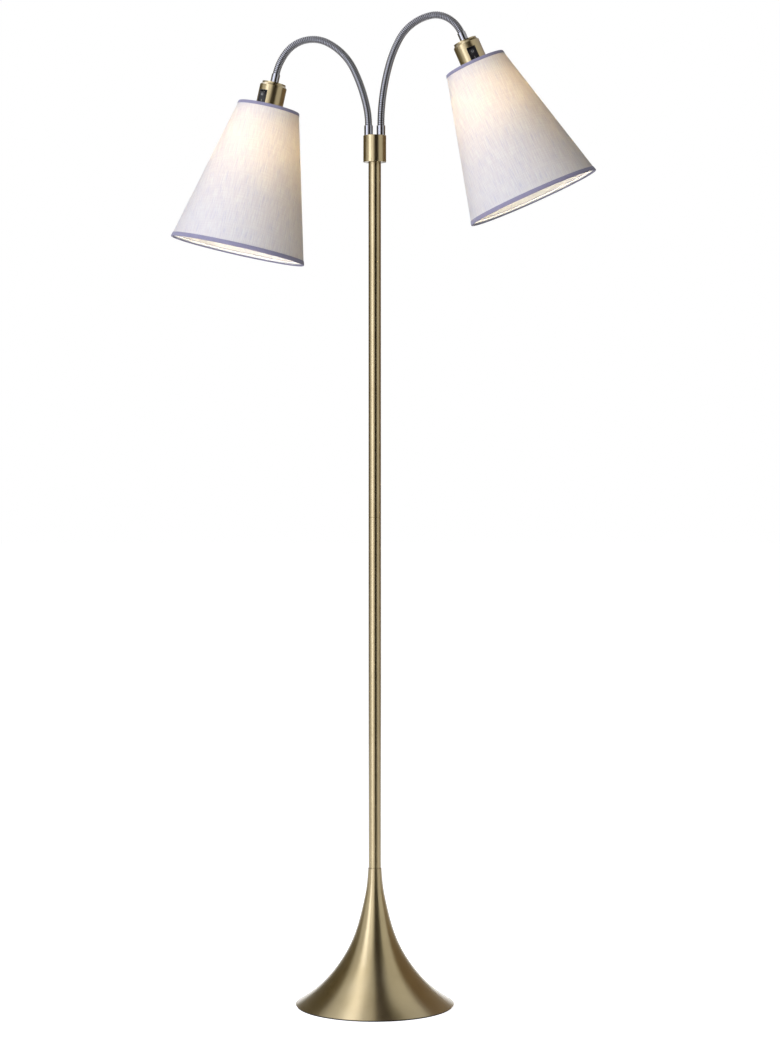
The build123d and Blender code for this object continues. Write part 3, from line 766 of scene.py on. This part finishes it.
for name, arm in arms.items():
    start = -FERRULE_SOCKET + SOCKET_GAP
    end = arm.tube + TIP_SOCKET - SOCKET_GAP
    first, second, third = BEND_PLACES
    first_join, second_join = (first + second) / 2, (second + third) / 2
    lower, middle, upper = (f"{name}_{place}_neck" for place in ("lower", "middle", "upper"))
    head = f"{name}_head"
    lengths = {
        # the lower length's bodies are named from its top down
        "lower": (start, first_join, middle, lower, first_join, LOWEST_BEND),
        "middle": (first_join, second_join, middle, upper, first_join, second_join),
        "upper": (second_join, end, upper, head, second_join + 10, arm.tube - 1),
    }
    nodes = {"lower": ["neck_a"], "middle": ["neck_b", "neck_c"], "upper": ["neck_d"]}
    whole = make_wound_tube(end - start + 2 * RIB_PITCH)
    for label, (low, high, body, next_body, turn_start, turn_end) in lengths.items():
        neck = copy_of(whole, f"{name}_gooseneck_{label}")
        bottom = low - start + RIB_PITCH
        slice_at(neck, bottom, clear_inner=True)
        slice_at(neck, high - start + RIB_PITCH, clear_outer=True)
        neck.data.transform(Matrix.Translation((0, 0, -bottom * MM)))
        line = arm.curve(low, high)
        lay_along(neck, line)
        smooth(neck, 60)
        dress(neck, chrome)
        arm.at(turn_start)[0]
        arm.at(turn_end)[0]
        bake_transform(neck)
        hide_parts(*(f"{name}_{node}" for node in nodes[label]))

        lead = make_lead(line, f"{name}_lead_{label}")
        arm.at(turn_start)[0]
        arm.at(turn_end)[0]
        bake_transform(lead)
        if label == "lower":
            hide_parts(f"{name}_arm_lead")
    bpy.data.objects.remove(whole)

    for label, low, high, body in (
        ("foot", LEAD_START, start, "stand"),
        ("tip", end, arm.length + LEAD_END, head),
    ):
        lead = make_lead(arm.curve(low, high), f"{name}_lead_{label}")
        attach(lead, body)

# ---------------------------------------------------------------- shades

LEAN = math.atan2(SHADE_BOTTOM - SHADE_TOP, SHADE_HEIGHT)
APEX = SHADE_START - SHADE_TOP / math.tan(LEAN)


def unroll(piece):
    """UV map in metres of the flat cloth that the cone is rolled from, warp down the front, cut at the back."""
    layer = piece.data.uv_layers.new(name="cloth")
    for face in piece.data.polygons:
        middle = math.atan2(face.center.y, face.center.x)
        for index in face.loop_indices:
            place = piece.data.vertices[piece.data.loops[index].vertex_index].co
            turn = math.atan2(place.y, place.x)
            turn = middle + (turn - middle + math.pi) % (2 * math.pi) - math.pi
            slant = math.hypot(place.z - APEX * MM, math.hypot(place.x, place.y))
            rolled = turn * math.sin(LEAN)
            layer.data[index].uv = (slant * math.sin(rolled), slant * math.cos(rolled))


def make_cone(name, inner_gap, start, end, rings=8):
    """Open cone parallel to the shade's outer face, inner_gap inside it, between two places along the slant."""
    deselect()
    out = -inner_gap / math.cos(LEAN)
    low = SHADE_TOP + (start - SHADE_START) * math.tan(LEAN) + out
    high = SHADE_TOP + (end - SHADE_START) * math.tan(LEAN) + out
    bpy.ops.mesh.primitive_cone_add(
        vertices=SHADE_FLATS,
        radius1=low * MM,
        radius2=high * MM,
        depth=(end - start) * MM,
        end_fill_type="NOTHING",
        location=(0, 0, (start + end) / 2 * MM),
    )
    cone = active(name)
    bpy.ops.object.transform_apply(location=True)
    for step in range(1, rings):
        pick(cone)
        bpy.ops.object.mode_set(mode="EDIT")
        bpy.ops.mesh.select_all(action="SELECT")
        height = start + (end - start) * step / rings
        bpy.ops.mesh.bisect(plane_co=(0, 0, height * MM), plane_no=(0, 0, 1))
        bpy.ops.object.mode_set(mode="OBJECT")
    outward(cone)
    return cone


def make_tape(name, edge, width, side):
    """Bias tape folded over an edge: two leaves and a rounded fold, thin where they meet the cloth."""
    deselect()
    bpy.ops.mesh.primitive_circle_add(
        vertices=16, radius=(SHADE_WALL / 2 + TAPE_WALL) * MM, rotation=(math.radians(90), 0, 0)
    )
    piece = active(name)
    bpy.ops.object.transform_apply(location=False, rotation=True)
    select_where(piece, "VERT", lambda place: place.z * side > 0.0001 * MM)
    bpy.ops.mesh.delete(type="VERT")
    select_where(piece, "VERT", lambda place: abs(place.z) < 0.0001 * MM)
    for _ in range(LEAF_STEPS):
        move = {"value": (0, 0, side * width / LEAF_STEPS * MM)}
        bpy.ops.mesh.extrude_region_move(TRANSFORM_OT_translate=move)
    bpy.ops.object.mode_set(mode="OBJECT")
    # the leaves draw in to the cloth at their cut edges
    for vertex in piece.data.vertices:
        if vertex.co.z * side > (width - 0.1) * MM:
            vertex.co.x *= LEAF_DRAW_IN
    turn = Matrix.Rotation(LEAN, 4, "Y")
    inwards = Vector((-math.cos(LEAN), 0, math.sin(LEAN)))
    middle = Vector((edge[0], 0, edge[1])) * MM + inwards * SHADE_WALL / 2 * MM
    piece.data.transform(Matrix.Translation(middle) @ turn)
    modify(
        piece,
        "SCREW",
        axis="Z",
        screw_offset=0,
        steps=SHADE_FLATS,
        render_steps=SHADE_FLATS,
        use_merge_vertices=True,
    )
    outward(piece)
    return piece


for name, arm in arms.items():
    place = arm.shade()
    cone = make_cone(f"{name}_shade", 0.0, SHADE_START, SHADE_START + SHADE_HEIGHT)
    modify(cone, "SOLIDIFY", thickness=SHADE_WALL * MM, offset=-1, use_even_offset=True, material_offset=1)
    dress(cone, linen, lining)
    unroll(cone)
    smooth(cone)
    settle(cone, place)
    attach(cone, f"{name}_head")
    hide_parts(f"{name}_shade_cone")
    unmirrored(cone)

    # the cloth's lapped seam down the back
    seam_top = SHADE_START + TOP_TAPE
    seam = make_cone(f"{name}_shade_seam", -SEAM_OUTSIDE, seam_top, SHADE_START + SHADE_HEIGHT - BOTTOM_TAPE)
    keep_faces(seam, lambda centre: centre.x < 0 and abs(math.atan2(centre.y, -centre.x)) < SEAM_TURN)
    modify(seam, "SOLIDIFY", thickness=SEAM_WALL * MM, offset=-1, use_even_offset=True)
    dress(seam, seam_linen)
    unroll(seam)
    smooth(seam)
    settle(seam, place)
    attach(seam, f"{name}_head")
    unmirrored(seam)

    for label, edge, width, side in (
        ("top", (SHADE_TOP, SHADE_START), TOP_TAPE, 1),
        ("bottom", (SHADE_BOTTOM, SHADE_START + SHADE_HEIGHT), BOTTOM_TAPE, -1),
    ):
        edging = make_tape(f"{name}_{label}_tape", edge, width, side)
        dress(edging, tape)
        unroll(edging)
        smooth(edging, 50)
        settle(edging, place)
        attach(edging, f"{name}_head")
        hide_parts(f"{name}_{label}_band")
        unmirrored(edging)

    # the printed O and I on the rocker
    rocker = arm.head() @ Matrix.Translation(Vector(ROCKER_PLACE) * MM) @ Matrix.Rotation(
        math.radians(-ROCKER_LEAN), 4, "Y"
    )
    deselect()
    bpy.ops.mesh.primitive_torus_add(
        major_radius=RING_MARK[0] * MM, minor_radius=RING_MARK[1] * MM, major_segments=40, minor_segments=8
    )
    ring = active(f"{name}_mark_off")
    bpy.ops.transform.resize(value=(1, 1, RING_FLATTENING))
    bpy.ops.transform.rotate(value=math.radians(90), orient_axis="Y", center_override=(0, 0, 0))
    bpy.ops.object.transform_apply(location=True, rotation=True, scale=True)
    outward(ring)
    settle(ring, rocker @ Matrix.Translation(Vector((ROCKER_FACE + MARK_LIFT, 0, -MARK_REACH)) * MM))
    deselect()
    bpy.ops.mesh.primitive_cube_add(size=1, scale=[side * MM for side in TICK_MARK])
    tick = active(f"{name}_mark_on")
    bpy.ops.object.transform_apply(location=True, rotation=True, scale=True)
    modify(tick, "BEVEL", width=TICK_EDGE * MM, segments=2)
    settle(tick, rocker @ Matrix.Translation(Vector((ROCKER_FACE + MARK_LIFT, 0, MARK_REACH)) * MM))
    for mark in (ring, tick):
        smooth(mark)
        dress(mark, mark_paint)
        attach(mark, f"{name}_rocker")

# ---------------------------------------------------------------- floor, light and camera

MIDDLE = 0.85  # height that the lights and flags are set about, in metres
LENS = 89.36
SENSOR = 36.0
CAMERA_PLACE = (0.022, -3.733, 0.810)
CAMERA_AIM = (0, 3.733, -0.105)


def background_rays(tree):
    """One for the rays that show the pale background: from the camera, off metal and through glass."""
    path = add(tree, "ShaderNodeLightPath")
    seen = path.outputs["Is Camera Ray"]
    for ray in ("Is Glossy Ray", "Is Transmission Ray"):
        seen = add(tree, "ShaderNodeMath", {0: seen, 1: path.outputs[ray]}, operation="MAXIMUM").outputs[0]
    return seen


def make_floor():
    deselect()
    bpy.ops.mesh.primitive_plane_add(size=24, location=(0, 6, 0))
    floor = active("studio_floor")
    material, tree, output = new_material("pale_floor")
    lift = add(tree, "ShaderNodeMath", {0: background_rays(tree), 1: FLOOR_LIFT}, operation="MULTIPLY")
    shader = add(
        tree,
        "ShaderNodeBsdfPrincipled",
        {
            "Base Color": linear("f1f1f0"),
            "Roughness": 0.9,
            "Specular IOR Level": 0.0,
            "Emission Color": linear("ffffff"),
            "Emission Strength": lift.outputs[0],
        },
    )
    close(tree, output, shader)
    dress(floor, material)


def make_world():
    world = bpy.data.worlds.new("studio")
    scene.world = world
    world.use_nodes = True
    tree = world.node_tree
    tree.nodes.clear()
    strength = add(tree, "ShaderNodeMapRange", {"Value": background_rays(tree), "To Min": SKY, "To Max": 1.0})
    sky = add(tree, "ShaderNodeBackground", {"Color": linear("ffffff"), "Strength": strength.outputs[0]})
    output = tree.nodes.new("ShaderNodeOutputWorld")
    tree.links.new(sky.outputs[0], output.inputs["Surface"])


def around(azimuth, distance, height):
    """Place at an azimuth in degrees from the viewer's side, positive towards +X."""
    turn = math.radians(azimuth)
    return Vector((math.sin(turn) * distance, -math.cos(turn) * distance, height))


def face(place, aim, axis, turn):
    """Rotation that turns an axis from a place towards an aim, then all of it round the vertical, in degrees."""
    return Quaternion((0, 0, 1), math.radians(turn)) @ (Vector(aim) - Vector(place)).to_track_quat(axis, "Y")


def make_softbox(name, place, aim, width, height, radiance, colour="ffffff", turn=0, in_reflections=True):
    light = bpy.data.lights.new(name, "AREA")
    light.shape = "RECTANGLE"
    light.size, light.size_y = width, height
    light.energy = radiance * math.pi * width * height
    light.color = linear(colour)[:3]
    made = bpy.data.objects.new(name, light)
    scene.collection.objects.link(made)
    made.location = place
    made.rotation_mode = "QUATERNION"
    made.rotation_quaternion = face(place, aim, "-Z", turn)
    made.visible_camera = False
    made.visible_glossy = in_reflections


def make_flag(name, place, aim, width, height, colour, turn=0):
    """Dark studio flag, seen only in reflections."""
    deselect()
    bpy.ops.mesh.primitive_plane_add(size=1)
    flag = active(name)
    flag.rotation_mode = "QUATERNION"
    flag.rotation_quaternion = face(place, aim, "Z", turn)
    flag.scale = (width, height, 1)
    flag.location = place
    material, tree, output = new_material(f"{name}_cloth")
    close(tree, output, add(tree, "ShaderNodeBsdfPrincipled", {"Base Color": linear(colour), "Roughness": 1.0}))
    dress(flag, material)
    flag.visible_camera = flag.visible_diffuse = flag.visible_shadow = flag.visible_transmission = False


def make_camera():
    held = bpy.data.cameras.new("view")
    held.lens = LENS
    held.sensor_fit = "VERTICAL"
    held.sensor_height = SENSOR
    camera = bpy.data.objects.new("view", held)
    scene.collection.objects.link(camera)
    camera.location = CAMERA_PLACE
    camera.rotation_mode = "QUATERNION"
    camera.rotation_quaternion = Vector(CAMERA_AIM).to_track_quat("-Z", "Y")
    scene.camera = camera


make_floor()
make_world()
# the softboxes light the lamp, and the flags are seen only in its brass, as the dark and warm bands along it
make_softbox("key_softbox", around(-49, 2.0, MIDDLE + 0.2), (0, 0, MIDDLE + 0.1), 0.8, 2.8, 3.5, "e4e9ff")
make_softbox("front_softbox", around(-25, 2.3, MIDDLE + 0.2), (0, 0, MIDDLE + 0.1), 0.6, 2.6, 1.3, "eef0ff")
make_softbox("wash_softbox", around(-14, 3.0, 1.5), (0, 0, 1.0), 1.8, 1.8, 3.2, "eef0ff", in_reflections=False)
make_softbox("top_front_softbox", (-1.4, -0.55, 2.9), (-1.4, -0.55, 0), 0.5, 1.9, 2.6, "eef0ff", turn=50)
make_softbox("top_back_softbox", (-0.72, 1.0, 2.9), (-0.72, 1.0, 0), 0.5, 2.6, 2.6, "eef0ff", turn=-11)
make_flag("flag_near", around(18, 2.2, MIDDLE + 0.3), (0, 0, MIDDLE + 0.3), 1.78, 4.2, "34260d")
make_flag("flag_top", (0.45, 0.9, 3.1), (0.45, 0.9, 0), 0.9, 5.8, "5c4926")
make_flag("flag_low", (0.42, -1.3, 0.01), (0.42, -1.3, 1), 0.9, 2.0, "1f180a")
make_flag("flag_left", around(-130, 2.2, 1.25), (0, 0, 1.25), 2.8, 2.3, "857448")
make_flag("flag_right", around(125, 2.2, 1.25), (0, 0, 1.25), 3.4, 2.3, "b89a6e")
make_flag("flag_back_left", (-0.4, 2.2, 1.26), (0, 0, 0.1), 0.4, 0.5, "3c3524")
make_flag("flag_back_right", (0.38, 2.2, 1.65), (0, 0, 0.1), 0.5, 0.6, "5a4630")
make_camera()
scene.view_settings.view_transform = "Standard"
